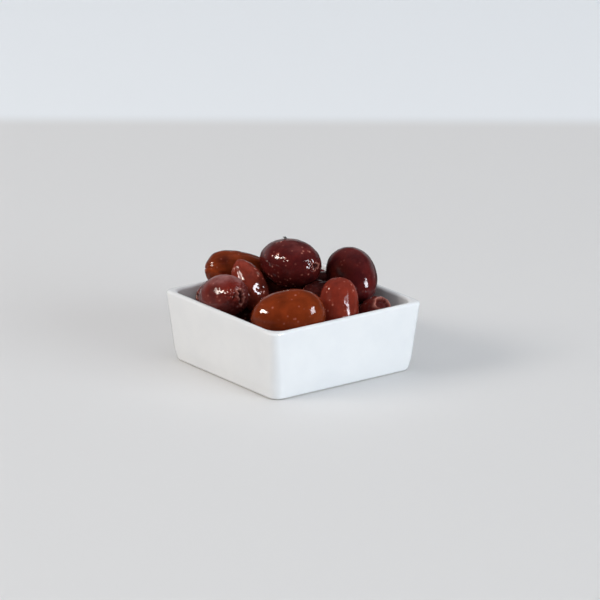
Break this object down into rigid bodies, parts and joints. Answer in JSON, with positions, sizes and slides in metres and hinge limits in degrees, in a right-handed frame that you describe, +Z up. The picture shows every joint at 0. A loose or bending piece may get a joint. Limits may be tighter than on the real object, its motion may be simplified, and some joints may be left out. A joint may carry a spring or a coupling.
{
  "type": "dish of olives",
  "caption": "Small square white porcelain dish with slightly sloping walls, heaped above its rim with whole dark olives.",
  "frame": {"origin": "on the table under the middle of the dish", "axes": "+Z up; the dish's straight sides run along X and Y"},
  "size_m": [0.07, 0.07, 0.0463],
  "materials": {
    "dish": "smooth glossy white glaze",
    "olives": "wet, glossy olive skin, maroon to red-brown"
  },
  "bodies": {
    "root": {"dish": "dish", "olives": "olives"}
  },
  "joints": []
}
